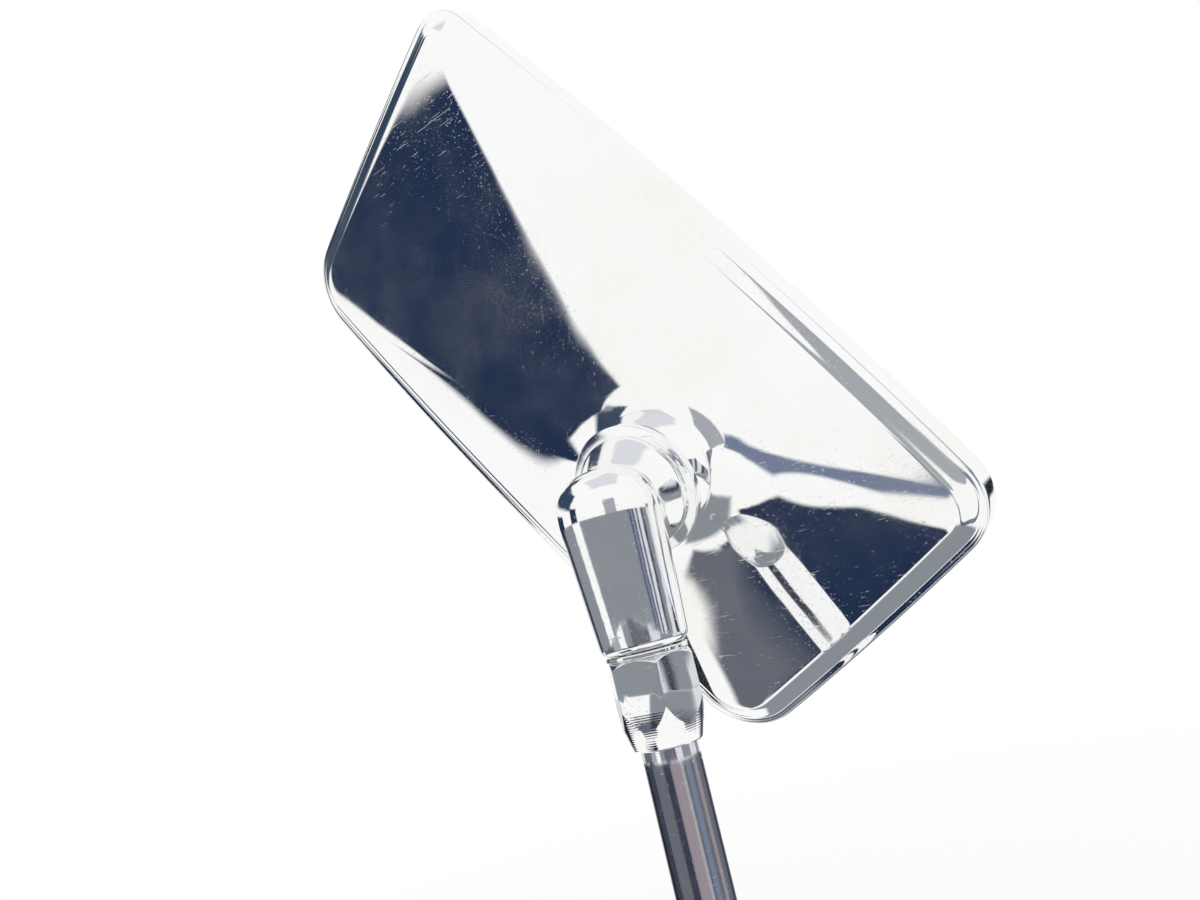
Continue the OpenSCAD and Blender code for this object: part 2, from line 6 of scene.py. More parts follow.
# %% Open the frame
import math
import bmesh
import bpy
from mathutils import Matrix, Quaternion, Vector
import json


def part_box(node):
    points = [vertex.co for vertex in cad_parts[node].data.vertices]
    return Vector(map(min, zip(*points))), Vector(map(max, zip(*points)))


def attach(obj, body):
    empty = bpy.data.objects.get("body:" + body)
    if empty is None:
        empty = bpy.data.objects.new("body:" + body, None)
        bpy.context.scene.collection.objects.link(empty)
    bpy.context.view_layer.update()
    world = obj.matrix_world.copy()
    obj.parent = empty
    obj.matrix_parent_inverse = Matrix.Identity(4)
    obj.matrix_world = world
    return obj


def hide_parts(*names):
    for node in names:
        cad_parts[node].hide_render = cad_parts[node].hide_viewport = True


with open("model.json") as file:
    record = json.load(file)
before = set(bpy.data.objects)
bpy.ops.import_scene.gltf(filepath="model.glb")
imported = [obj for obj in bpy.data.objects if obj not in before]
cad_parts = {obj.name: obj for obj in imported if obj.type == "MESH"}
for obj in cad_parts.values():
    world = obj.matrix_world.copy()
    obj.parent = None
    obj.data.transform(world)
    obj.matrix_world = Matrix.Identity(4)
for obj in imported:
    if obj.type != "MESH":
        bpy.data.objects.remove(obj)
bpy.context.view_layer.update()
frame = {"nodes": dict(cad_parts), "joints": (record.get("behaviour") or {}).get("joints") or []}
joints = {joint["name"]: joint for joint in frame["joints"]}

# %% [markdown]
# The photograph was taken from close by, so its perspective is strong. The camera therefore
# stands at the place that was fitted to the mirror's outline, 17 cm from the elbow, and its lens
# follows from the focal length in pixels. A longer lens from further off would flatten the head.

# %% Camera
PICTURE_WIDTH = 1200
FOCAL_PIXELS = 961
CAMERA_PLACE = Vector((-0.102574, 0.134539, 0.105583))
CAMERA_FORWARD = Vector((0.5983, -0.7876, 0.1475)).normalized()
CAMERA_DOWN = Vector((0.2734, 0.0276, -0.9615))

camera_right = CAMERA_DOWN.cross(CAMERA_FORWARD).normalized()
camera_up = camera_right.cross(CAMERA_FORWARD).normalized()
camera_data = bpy.data.cameras.new("camera")
camera_data.sensor_width = 36
camera_data.lens = camera_data.sensor_width * FOCAL_PIXELS / PICTURE_WIDTH
camera_data.clip_start = 0.01
camera = bpy.data.objects.new("camera", camera_data)
turn = Matrix((camera_right, camera_up, -CAMERA_FORWARD)).transposed().to_4x4()
camera.matrix_world = Matrix.Translation(CAMERA_PLACE) @ turn
bpy.context.scene.collection.objects.link(camera)
bpy.context.scene.camera = camera
bpy.context.scene.view_settings.view_transform = "Standard"
print("lens:", round(camera_data.lens, 2), "mm")

# %% [markdown]
# Three small frames of reference carry the whole mirror: the stem's own, the neck's, which
# points from the elbow to the ball, and the head's, which lies on the lip of the housing.
# The ball's place and the two axes are read from the joints, so they can't drift from the CAD.

# %% Frames of reference
MM = 0.001
HEAD_TURN = math.radians(118.4)
BALL_OVER_LIP = 14.1
JOINT_X = 25.2
JOINT_Y = 1.8

ball = Vector(joints["head_roll"]["pos_m"]) / MM
neck_axis = Vector(joints["head_roll"]["axis"])
pan_axis = Vector(joints["head_pan"]["axis"])
neck_rise = math.atan2(neck_axis.z, -neck_axis.y)
head_nod = math.atan2(pan_axis.y, pan_axis.z)
elbow_middle = ball + neck_axis * (ball.y / -neck_axis.y)
ball_reach = (ball - elbow_middle).length

in_neck = Matrix.Translation(elbow_middle) @ Matrix.Rotation(math.pi / 2 - neck_rise, 4, "X")
at_joint = (Matrix.Translation(ball)
            @ Matrix.Rotation(-math.pi / 2 - head_nod, 4, "X")
            @ Matrix.Rotation(HEAD_TURN, 4, "Z")
            @ Matrix.Translation((0, 0, -BALL_OVER_LIP)))
in_head = at_joint @ Matrix.Translation((-JOINT_X, -JOINT_Y, 0))
print("elbow middle:", tuple(round(x, 2) for x in elbow_middle), "reach:", round(ball_reach, 2))

# %% [markdown]
# Every new piece is made in millimetres with bmesh operators, then placed and scaled in its
# mesh, so that its object stays at the origin. These helpers do the steps that all pieces share.


# %% Helpers for pieces
def object_from(name, bm):
    """Turns a bmesh into an object of the scene that stands at the origin."""
    mesh = bpy.data.meshes.new(name)
    bm.to_mesh(mesh)
    bm.free()
    made = bpy.data.objects.new(name, mesh)
    bpy.context.scene.collection.objects.link(made)
    return made


def add_piece(name, bm, body, node, place=None):
    """Places a bmesh in the frame, in metres, on its body, in place of a node of the CAD."""
    scale = Matrix.Scale(MM, 4)
    bmesh.ops.transform(bm, matrix=scale @ place if place else scale, verts=bm.verts)
    bmesh.ops.recalc_face_normals(bm, faces=bm.faces)
    piece = object_from(name, bm)
    for polygon in piece.data.polygons:
        polygon.use_smooth = True
    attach(piece, body)
    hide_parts(node)
    print(name + ":", len(piece.data.polygons), "faces")
    return piece


def sharpen(piece, degrees=30):
    """Splits the shading at edges that are sharper than an angle."""
    piece.data.set_sharp_from_angle(angle=math.radians(degrees))


def spin_profile(bm, points, steps, closed=True):
    """Turns a profile of (radius, height) points about Z into a closed solid."""
    verts = [bm.verts.new((r, 0, z)) for r, z in points]
    edges = [bm.edges.new(pair) for pair in zip(verts, verts[1:])]
    if closed:
        edges.append(bm.edges.new((verts[-1], verts[0])))
    bmesh.ops.spin(bm, geom=verts + edges, cent=(0, 0, 0), axis=(0, 0, 1),
                   angle=2 * math.pi, steps=steps, use_merge=True)
    bmesh.ops.remove_doubles(bm, verts=bm.verts, dist=0.0005)


def rounded(points, radius, steps=4):
    """Rounds each corner of a closed profile by the radius, or by what its sides allow."""
    made = []
    count = len(points)
    for i, (x, z) in enumerate(points):
        corner = Vector((x, z))
        before = Vector(points[i - 1]) - corner
        after = Vector(points[(i + 1) % count]) - corner
        reach = min(radius, before.length * 0.45, after.length * 0.45)
        start = corner + before.normalized() * reach
        end = corner + after.normalized() * reach
        for k in range(steps + 1):
            s = k / steps
            made.append(tuple(start * (1 - s) ** 2 + corner * 2 * s * (1 - s) + end * s * s))
    return made


def loft(bm, rings):
    """Extrudes a ring of edges through the given rings of points, and returns the last edges."""
    verts = [bm.verts.new(p) for p in rings[0]]
    edges = [bm.edges.new((v, verts[(i + 1) % len(verts)])) for i, v in enumerate(verts)]
    for ring in rings[1:]:
        made = bmesh.ops.extrude_edge_only(bm, edges=edges)["geom"]
        fresh = {g for g in made if isinstance(g, bmesh.types.BMVert)}
        verts = [next(e.other_vert(v) for e in v.link_edges if e.other_vert(v) in fresh)
                 for v in verts]
        for v, p in zip(verts, ring):
            v.co = p
        edges = [g for g in made if isinstance(g, bmesh.types.BMEdge)
                 and g.verts[0] in fresh and g.verts[1] in fresh]
    return edges


def add_subsurf(piece, levels):
    smooth = piece.modifiers.new("smooth", "SUBSURF")
    smooth.levels = levels
    smooth.render_levels = levels


# %% [markdown]
# The head's outline is a crowned rectangle: four corner arcs of different radii, joined by
# shallow bows. It is the same rule as in the CAD source, with more steps, because chrome shows
# every flat. One function gives the outline at any inset, for the housing, seal and glass.

# %% The head's outline
HEAD_LENGTH = 151.6
HEAD_HEIGHT = 81.6
LONG_CROWN = 1.7
SHORT_CROWN = 0.4
CORNER_RADII = (11, 8, 13, 14)
CORNER_STEPS = 12
EDGE_STEPS = 10


def mix(a, b, share):
    return a * (1 - share) + b * share


def bow_angle(length, crown):
    return math.atan(4 * crown / length)


def crowned_rectangle(half_x, half_y, radii, long_crown, short_crown):
    """Points round a rectangle with bowed sides, from the corner at +X+Y onwards."""
    corners = []
    for index, (side_x, side_y) in enumerate(((1, 1), (-1, 1), (-1, -1), (1, -1))):
        radius = radii[index]
        centre = Vector((side_x * (half_x - radius), side_y * (half_y - radius)))
        trims = (bow_angle(2 * (half_y - radius), short_crown),
                 bow_angle(2 * (half_x - radius), long_crown))
        first = math.pi / 2 * index + trims[index % 2]
        last = math.pi / 2 * (index + 1) - trims[(index + 1) % 2]
        corners.append([centre + radius * Vector((math.cos(a), math.sin(a)))
                        for a in (mix(first, last, k / CORNER_STEPS)
                                  for k in range(CORNER_STEPS + 1))])
    points = []
    for index, corner in enumerate(corners):
        start = corner[-1]
        end = corners[(index + 1) % 4][0]
        along = end - start
        out = Vector((along.y, -along.x)).normalized()
        crown = (long_crown, short_crown)[index % 2]
        points += corner
        for k in range(1, EDGE_STEPS):
            s = 2 * k / EDGE_STEPS - 1
            points.append(start + along * (k / EDGE_STEPS) + out * crown * (1 - s * s))
    return points


def head_outline(inset, z=0.0):
    plan = crowned_rectangle(HEAD_LENGTH / 2 - SHORT_CROWN - inset,
                             HEAD_HEIGHT / 2 - LONG_CROWN - inset,
                             [max(r - inset, 1) for r in CORNER_RADII],
                             LONG_CROWN, SHORT_CROWN)
    return [(p.x, p.y, z) for p in plan]


RING_POINTS = len(head_outline(0))
print("outline:", RING_POINTS, "points")

# %% [markdown]
# The housing is a chromed shell. A flat border and a sloped band run round its back, and inside
# them four almost flat faces rise to a round cap over the ball, with a small trumpet flare round
# the cap. It is lofted by extruding one ring of edges over and over, because each ring then keeps
# the same points, and Subdivision Surface turns the rings into one smooth skin. Where the real
# shell has a crisp line, two rings lie close together. The skin goes round the lip and back
# inside, through the socket, so the shell has its real wall.

# %% Housing rings
SIDE_DEPTH = 6.5
BORDER_WIDTH = 1.7
BAND_RUN = 3.1
BAND_RISE = 2.4
WALL = 1.7
LEDGE_WIDTH = 1.2
LEDGE_Z = 5.2
ROOF_HEIGHT = 16.4
FLARE_REACH = 5.0
CAP_RADIUS = 13.2
CAP_FOOT_ANGLE = math.radians(66.4)
CAP_OPENING_ANGLE = math.radians(31.1)
SOCKET_RADIUS = 9
SOCKET_WALL = 2
SOCKET_TOP = 18.5
SOCKET_MOUTH = 8.0
SOCKET_FOOT = 8.5
# The roof's rings crowd together at the band and at the flare, where the skin bends most
ROOF_SHARES = (0.006, 0.03, 0.08, 0.14, 0.24, 0.36, 0.48, 0.6, 0.7, 0.78, 0.84, 0.89, 0.93,
               0.96, 0.98, 0.992, 1)
CAP_STEPS = 12

band_inset = BORDER_WIDTH + BAND_RUN
band_top = SIDE_DEPTH + BAND_RISE
cap_foot_r = CAP_RADIUS * math.sin(CAP_FOOT_ANGLE)
cap_foot_z = BALL_OVER_LIP + CAP_RADIUS * math.cos(CAP_FOOT_ANGLE)


def circle_point(index, radius, z):
    """A point on a circle about the joint that matches the outline's point of that number."""
    turn = math.radians(45 / (CORNER_STEPS + EDGE_STEPS)) + 2 * math.pi * index / RING_POINTS
    return Vector((JOINT_X + radius * math.cos(turn), JOINT_Y + radius * math.sin(turn), z))


def circle_ring(radius, z):
    return [circle_point(i, radius, z) for i in range(RING_POINTS)]


def roof_ring(share, inset, drop, cap_r):
    """A ring of the back between the sloped band, at share 0, and the cap, at share 1."""
    outer = band_inset + inset
    plan = crowned_rectangle(mix(HEAD_LENGTH / 2 - SHORT_CROWN - outer, cap_r, share),
                             mix(HEAD_HEIGHT / 2 - LONG_CROWN - outer, cap_r, share),
                             [mix(max(r - outer, 2), cap_r * 0.98, share) for r in CORNER_RADII],
                             mix(LONG_CROWN, 0.001, share), mix(SHORT_CROWN, 0.001, share))
    ring = []
    for i, point in enumerate(plan):
        on_cap = circle_point(i, cap_r, 0).to_2d()
        at = mix(point + Vector((JOINT_X, JOINT_Y)) * share, on_cap, share ** 4)
        away = (at - Vector((JOINT_X, JOINT_Y))).length - cap_r
        z = (mix(band_top, ROOF_HEIGHT, share)
             + (cap_foot_z - ROOF_HEIGHT) * math.exp(-max(away, 0) / FLARE_REACH))
        ring.append((at.x, at.y, z - drop))
    return ring


rim_profile = (
    (WALL / 2, 0.0),
    (0.15, 0.08),
    (0, 0.5),
    (0, SIDE_DEPTH * 0.4),
    (0, SIDE_DEPTH - 1.2),
    (0, SIDE_DEPTH - 0.6),
    (0.07, SIDE_DEPTH - 0.28),
    (0.25, SIDE_DEPTH - 0.07),
    (0.55, SIDE_DEPTH),
    (BORDER_WIDTH - 0.6, SIDE_DEPTH + 0.03),
    (BORDER_WIDTH - 0.2, SIDE_DEPTH + 0.09),
    (BORDER_WIDTH + 0.2, SIDE_DEPTH + 0.3),
    (BORDER_WIDTH + 0.6, SIDE_DEPTH + 0.58),
    (mix(BORDER_WIDTH, band_inset, 0.5), SIDE_DEPTH + BAND_RISE * 0.53),
    (band_inset - 0.8, band_top - 0.44),
    (band_inset - 0.4, band_top - 0.16),
)
outer_rings = [head_outline(inset, z) for inset, z in rim_profile]
outer_rings += [roof_ring(share, 0, 0, cap_foot_r) for share in ROOF_SHARES]
for k in range(1, CAP_STEPS + 1):
    angle = mix(CAP_FOOT_ANGLE, CAP_OPENING_ANGLE, k / CAP_STEPS)
    outer_rings.append(circle_ring(CAP_RADIUS * math.sin(angle),
                                   BALL_OVER_LIP + CAP_RADIUS * math.cos(angle)))

cap_mouth_r = CAP_RADIUS * math.sin(CAP_OPENING_ANGLE)
cap_mouth_z = BALL_OVER_LIP + CAP_RADIUS * math.cos(CAP_OPENING_ANGLE)
socket_outer = SOCKET_RADIUS + SOCKET_WALL
socket_rings = [circle_ring(r, z) for r, z in (
    (cap_mouth_r + 0.1, cap_mouth_z - 0.5),
    (SOCKET_MOUTH - 0.1, SOCKET_TOP + 0.3),
    (SOCKET_MOUTH + 0.1, SOCKET_TOP),
    (SOCKET_RADIUS - 0.1, SOCKET_TOP),
    (SOCKET_RADIUS, SOCKET_TOP - 0.2),
    (SOCKET_RADIUS, SOCKET_FOOT + 0.3),
    (SOCKET_RADIUS + 0.2, SOCKET_FOOT),
    (socket_outer - 0.2, SOCKET_FOOT),
    (socket_outer, SOCKET_FOOT + 0.3),
    (socket_outer, ROOF_HEIGHT - WALL - 1.5),
)]

inner_rings = [roof_ring(share, WALL * 0.9, WALL, cap_foot_r - WALL)
               for share in (0.9, 0.8, 0.65, 0.45, 0.25, 0.08, 0)]
inner_rings.append(head_outline(WALL + LEDGE_WIDTH, LEDGE_Z + 0.2))
inner_rings.append(head_outline(WALL + LEDGE_WIDTH - 0.2, LEDGE_Z))
inner_rings.append(head_outline(WALL + 0.2, LEDGE_Z))
for z in (LEDGE_Z - 0.2, LEDGE_Z / 2, 0.4):
    inner_rings.append(head_outline(WALL, z))

# %% Housing
shell = bmesh.new()
all_rings = outer_rings + socket_rings + inner_rings
last_edges = loft(shell, all_rings)
first_edges = [e for e in shell.edges if e.is_boundary and e not in last_edges]
bmesh.ops.bridge_loops(shell, edges=last_edges + first_edges)
housing = add_piece("housing_shell", shell, "head", "housing", in_head)
add_subsurf(housing, 2)

# %% [markdown]
# The glass is a shallow piece of a large sphere, and the seal is a rubber channel round its edge.
# Both follow the same outline, so both are lofts of a few rings at the seal's and glass's insets.

# %% Glass and seal
GLASS_RADIUS = 1400
GLASS_FRONT = 0.2
GLASS_THICKNESS = 2
SEAL_WIDTH = 1.1
SEAL_LIP = 1.4
SEAL_LIP_THICKNESS = 0.7
FIT_GAP = 0.1

seal_inset = WALL + FIT_GAP
glass_inset = seal_inset + SEAL_WIDTH
lip_inset = glass_inset + SEAL_LIP


def dished(points, depth):
    """Lays a plan of points on the sphere that lies a depth behind the glass's front."""
    radius = GLASS_RADIUS - depth
    return [(x, y, GLASS_FRONT + GLASS_RADIUS - math.sqrt(radius ** 2 - x * x - y * y))
            for x, y, _ in points]


def scaled_outline(inset, share):
    return [(x * share, y * share, 0) for x, y, _ in head_outline(inset)]


glass_bm = bmesh.new()
glass_rings = [dished(scaled_outline(glass_inset + 0.25, s), 0)
               for s in (0.02, 0.15, 0.3, 0.45, 0.6, 0.75, 0.88, 0.97, 1)]
glass_rings += [dished(head_outline(glass_inset), d) for d in (0.25, GLASS_THICKNESS - 0.2)]
glass_rings += [dished(scaled_outline(glass_inset + 0.2, s), GLASS_THICKNESS)
                for s in (1, 0.97, 0.6, 0.3, 0.02)]
loft(glass_bm, glass_rings)
bmesh.ops.holes_fill(glass_bm, edges=[e for e in glass_bm.edges if e.is_boundary])
glass = add_piece("mirror_pane", glass_bm, "head", "mirror_glass", in_head)
sharpen(glass, 35)

lip_mid = (glass_inset + lip_inset) / 2
seal_section = (
    [(seal_inset, d) for d in (-0.45, 0.6, 1.6)]
    + [(seal_inset, GLASS_THICKNESS + 0.4),
       (seal_inset + 0.15, GLASS_THICKNESS + SEAL_LIP_THICKNESS),
       (lip_mid, GLASS_THICKNESS + SEAL_LIP_THICKNESS),
       (lip_inset - 0.15, GLASS_THICKNESS + SEAL_LIP_THICKNESS - 0.1),
       (lip_inset, GLASS_THICKNESS + 0.35),
       (lip_inset - 0.1, GLASS_THICKNESS + 0.02),
       (glass_inset - 0.05, GLASS_THICKNESS + 0.02),
       (glass_inset - 0.05, 0.0),
       (lip_inset - 0.1, -0.02),
       (lip_inset, -0.12),
       (lip_inset - 0.12, -0.3),
       (lip_mid, -0.62),
       (glass_inset, -SEAL_LIP_THICKNESS),
       (seal_inset + 0.35, -SEAL_LIP_THICKNESS + 0.02)])
seal_bm = bmesh.new()
seal_last = loft(seal_bm, [dished(head_outline(inset), depth) for inset, depth in seal_section])
seal_first = [e for e in seal_bm.edges if e.is_boundary and e not in seal_last]
bmesh.ops.bridge_loops(seal_bm, edges=seal_last + seal_first)
seal = add_piece("glass_seal", seal_bm, "head", "rim_seal", in_head)
sharpen(seal, 50)

# %% [markdown]
# The elbow is a casting: the dome, the barrel and the neck run into each other without a sharp
# line. A copy of its CAD node is merged, remeshed into even small faces and smoothed, which
# rounds every inner corner the way polishing does.

# %% Elbow
VOXEL = 0.28
POLISH_ROUNDS = 14
elbow_bm = bmesh.new()
elbow_bm.from_mesh(frame["nodes"]["elbow"].data)
bmesh.ops.transform(elbow_bm, matrix=Matrix.Scale(1 / MM, 4), verts=elbow_bm.verts)
bmesh.ops.remove_doubles(elbow_bm, verts=elbow_bm.verts, dist=0.001)
elbow = add_piece("elbow_casting", elbow_bm, "elbow", "elbow")
remesh = elbow.modifiers.new("even", "REMESH")
remesh.mode = "VOXEL"
remesh.voxel_size = VOXEL * MM
remesh.use_smooth_shade = True
relax = elbow.modifiers.new("polish", "SMOOTH")
relax.factor = 0.5
relax.iterations = POLISH_ROUNDS

# %% [markdown]
# The collar and the washers are turned rings. Each is a small profile with rounded corners, spun
# about its axis. The collar's hollow is a zone of the sphere in which the dust shield slides.

# %% Collar and washers
COLLAR_RADIUS = 12.7
BELL_RADIUS = 14.8
TURN_STEPS = 96
COLLAR_FRONT = 8.0
COLLAR_HEIGHT = 1.8


def bell_r(z):
    """Radius of the round hollow at a height along the neck."""
    return math.sqrt(BELL_RADIUS ** 2 - (ball_reach - z) ** 2)


collar_back = COLLAR_FRONT + COLLAR_HEIGHT
collar_bm = bmesh.new()
hollow = [bell_r(mix(collar_back, COLLAR_FRONT, s)) + 0.02 for s in (0, 1)]
edge = rounded([(COLLAR_RADIUS, COLLAR_FRONT), (COLLAR_RADIUS, collar_back),
                (hollow[0], collar_back), (hollow[1], COLLAR_FRONT)], 0.35)
spin_profile(collar_bm, edge, TURN_STEPS)
collar = add_piece("collar_ring", collar_bm, "collar", "neck_collar", in_neck)
sharpen(collar, 50)


def washer_piece(name, node, body, bore, radius):
    low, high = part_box(node)
    bm = bmesh.new()
    outer = (high.x - low.x) / 2 / MM
    section = [(bore, low.z / MM), (outer, low.z / MM), (outer, high.z / MM), (bore, high.z / MM)]
    spin_profile(bm, rounded(section, radius), TURN_STEPS)
    piece = add_piece(name, bm, body, node)
    sharpen(piece, 50)
    return piece


lock_washer = washer_piece("elbow_washer", "lock_washer", "washer", 5.0, 0.3)
lower_washer = washer_piece("seat_washer", "lower_washer", "stem", 5.2, 0.2)

# %% [markdown]
# A nut is turned first and then gets its six flats. The same order works here: the turned profile
# with its bore is spun, six planes cut the flats, and each cut is filled with one face. The arcs
# where the flats meet the cone come by themselves, and a fine bevel catches the light.

# %% Nuts
NUT_FLATS = 14
UPPER_NUT_TURN = math.radians(14)
UPPER_TAPER = math.radians(16)
UPPER_FOOT_R = 6.05
nut_corner_r = NUT_FLATS / 2 / math.cos(math.pi / 6)


def nut_piece(name, node, body, section, turn):
    bm = bmesh.new()
    spin_profile(bm, section, 120)
    for k in range(6):
        angle = turn + math.pi / 6 + k * math.pi / 3
        normal = Vector((math.cos(angle), math.sin(angle), 0))
        cut = bmesh.ops.bisect_plane(bm, geom=bm.verts[:] + bm.edges[:] + bm.faces[:],
                                     plane_co=normal * NUT_FLATS / 2, plane_no=normal,
                                     clear_outer=True, dist=0.0001)
        rim = [g for g in cut["geom_cut"] if isinstance(g, bmesh.types.BMEdge)]
        bmesh.ops.holes_fill(bm, edges=rim)
    bmesh.ops.remove_doubles(bm, verts=bm.verts, dist=0.002)
    crests = [e for e in bm.edges if len(e.link_faces) == 2
              and e.calc_face_angle() > math.radians(20)]
    bmesh.ops.bevel(bm, geom=crests, offset=0.14, offset_type="OFFSET", segments=2,
                    profile=0.5, affect="EDGES", material=-1, clamp_overlap=True)
    piece = add_piece(name, bm, body, node)
    sharpen(piece, 24)
    return piece


upper_low, upper_high = (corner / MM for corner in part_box("lock_nut"))
taper_top = upper_low.z + (nut_corner_r + 0.05 - UPPER_FOOT_R) / math.tan(UPPER_TAPER)
lock_nut = nut_piece("taper_nut", "lock_nut", "nut", [
    (4.91, upper_low.z + 3.6),
    (5.15, upper_low.z + 3.6),
    (5.15, upper_low.z + 0.5),
    (UPPER_FOOT_R - 0.5, upper_low.z),
    (UPPER_FOOT_R - 0.15, upper_low.z),
    (UPPER_FOOT_R + 0.02, upper_low.z + 0.2),
    (nut_corner_r + 0.05, taper_top),
    (nut_corner_r + 0.05, upper_high.z - 1.08),
    (NUT_FLATS / 2 - 0.1, upper_high.z),
    (4.91, upper_high.z)], UPPER_NUT_TURN)

lower_low, lower_high = (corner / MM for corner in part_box("lower_lock_nut"))
lower_lock_nut = nut_piece("seat_nut", "lower_lock_nut", "lower_nut", [
    (4.91, lower_low.z + 0.4),
    (5.3, lower_low.z),
    (NUT_FLATS / 2 - 0.1, lower_low.z),
    (nut_corner_r + 0.05, lower_low.z + 0.63),
    (nut_corner_r + 0.05, lower_high.z - 0.63),
    (NUT_FLATS / 2 - 0.1, lower_high.z),
    (5.3, lower_high.z),
    (4.91, lower_high.z - 0.4)], 0)

# %% [markdown]
# The stem is a ground rod with a rolled thread at its foot. The thread is a ridge: a small
# triangle, spun about the stem while it climbs one pitch each turn. It stands on the rod's core,
# its foot sunk a little into it; its two ends stop short, without the run-out of a rolled thread.

# %% Stem
THREAD_PITCH = 1.25
THREAD_CORE_R = 4.3
THREAD_CREST_R = 4.88
THREAD_TOP = 15.0
THREAD_START = 0.9
STEM_R = 5.0
UPPER_THREAD_R = 4.85
UPPER_THREAD_FOOT = 81.0
TURN_OF_THREAD = 36

stem_low, stem_high = (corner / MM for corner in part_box("stem"))
stem_bm = bmesh.new()
core = [(0, stem_low.z), (3.6, stem_low.z), (THREAD_CORE_R, stem_low.z + 0.8),
        (THREAD_CORE_R, THREAD_TOP - 0.3), (STEM_R, THREAD_TOP + 0.4), (STEM_R, THREAD_TOP + 0.8),
        (STEM_R, UPPER_THREAD_FOOT - 0.8), (STEM_R, UPPER_THREAD_FOOT - 0.4),
        (UPPER_THREAD_R, UPPER_THREAD_FOOT), (UPPER_THREAD_R, UPPER_THREAD_FOOT + 0.4),
        (UPPER_THREAD_R, stem_high.z - 1), (UPPER_THREAD_R - 1, stem_high.z), (0, stem_high.z)]
spin_profile(stem_bm, core, TURN_STEPS, closed=False)
sunk = THREAD_CORE_R - 0.15
ridge = [(sunk, -0.62), (THREAD_CREST_R, -0.1), (THREAD_CREST_R, 0.1), (sunk, 0.62)]
turns = (THREAD_TOP - 0.6 - (stem_low.z + THREAD_START)) / THREAD_PITCH
steps = int(turns * TURN_OF_THREAD)
ridge_verts = [stem_bm.verts.new((r, 0, z + stem_low.z + THREAD_START)) for r, z in ridge]
ridge_face = stem_bm.faces.new(ridge_verts)
spun = bmesh.ops.spin(stem_bm, geom=[ridge_face] + ridge_face.edges[:] + ridge_face.verts[:],
                      cent=(0, 0, 0), axis=(0, 0, 1),
                      dvec=(0, 0, THREAD_PITCH / TURN_OF_THREAD),
                      angle=2 * math.pi * steps / TURN_OF_THREAD, steps=steps)
stem = add_piece("stem_rod", stem_bm, "stem", "stem")
sharpen(stem, 35)

# %% [markdown]
# The studio is a pale floor below the stem's end and an even white surround. The floor isn't part
# of the mirror. The camera sees a nearly white floor, because most of its colour for camera rays
# is a plain white glow, and the rest is a diffuse floor that still takes a soft shadow.

# %% Floor and lamp
FLOOR_Z = -0.022
LAMP_PLACE = Vector((-0.5, 0.6, 1.0))
LAMP_AIM = Vector((0, 0, 0.1))
LAMP_SIZE = 0.6
LAMP_WATTS = 3
floor_bm = bmesh.new()
bmesh.ops.create_grid(floor_bm, x_segments=2, y_segments=2, size=6)
bmesh.ops.translate(floor_bm, vec=(0, 0, FLOOR_Z), verts=floor_bm.verts)
floor = object_from("floor", floor_bm)
floor.visible_glossy = False

lamp_data = bpy.data.lights.new("soft_box", "AREA")
lamp_data.shape = "DISK"
lamp_data.size = LAMP_SIZE
lamp_data.energy = LAMP_WATTS
lamp = bpy.data.objects.new("soft_box", lamp_data)
lamp.location = LAMP_PLACE
lamp.rotation_mode = "QUATERNION"
lamp.rotation_quaternion = (LAMP_AIM - LAMP_PLACE).to_track_quat("-Z", "Y")
lamp.visible_glossy = False
bpy.context.scene.collection.objects.link(lamp)

# %% [markdown]
# Node trees are long to write out, so a few helpers keep each recipe short. A node is added with
# its settings and its inputs in one call: an input is a number, a colour or another node's socket.


# %% Helpers for node trees
def add_node(tree, kind, inputs=None, **settings):
    node = tree.nodes.new(kind)
    for key, value in settings.items():
        setattr(node, key, value)
    for key, value in (inputs or {}).items():
        if isinstance(value, bpy.types.NodeSocket):
            tree.links.new(value, node.inputs[key])
        else:
            node.inputs[key].default_value = value
    return node


def math_node(tree, operation, a, b=0.0):
    return add_node(tree, "ShaderNodeMath", {0: a, 1: b}, operation=operation).outputs[0]


def product(tree, first, *others):
    for other in others:
        first = math_node(tree, "MULTIPLY", first, other)
    return first


def vector_node(tree, operation, a, b=(0, 0, 0)):
    node = add_node(tree, "ShaderNodeVectorMath", {0: a, 1: b}, operation=operation)
    return node.outputs["Value" if operation in ("DOT_PRODUCT", "LENGTH") else "Vector"]


def ramp_between(tree, value, low, high, start=0.0, end=1.0):
    """Maps a value from low..high to start..end, smoothly and without leaving that range."""
    return add_node(tree, "ShaderNodeMapRange",
                    {"Value": value, "From Min": low, "From Max": high,
                     "To Min": start, "To Max": end},
                    interpolation_type="SMOOTHSTEP").outputs["Result"]


def blend_colours(tree, factor, a, b):
    node = tree.nodes.new("ShaderNodeMix")
    node.data_type = "RGBA"
    for key, value in ((0, factor), (6, a), (7, b)):
        if isinstance(value, bpy.types.NodeSocket):
            tree.links.new(value, node.inputs[key])
        else:
            node.inputs[key].default_value = value
    return node.outputs[2]


def object_coords(tree):
    return tree.nodes.new("ShaderNodeTexCoord").outputs["Object"]


def noise_in(tree, coords, scale, detail, roughness=0.5):
    return add_node(tree, "ShaderNodeTexNoise",
                    {"Vector": coords, "Scale": scale, "Detail": detail,
                     "Roughness": roughness}).outputs["Fac"]


def new_material(name, **values):
    """A material and its Principled shader, with constants set on the shader's own sockets."""
    material = bpy.data.materials.new(name)
    material.use_nodes = True
    shader = material.node_tree.nodes["Principled BSDF"]
    for socket, value in values.items():
        shader.inputs[socket.replace("_", " ")].default_value = value
    return material, shader, material.node_tree


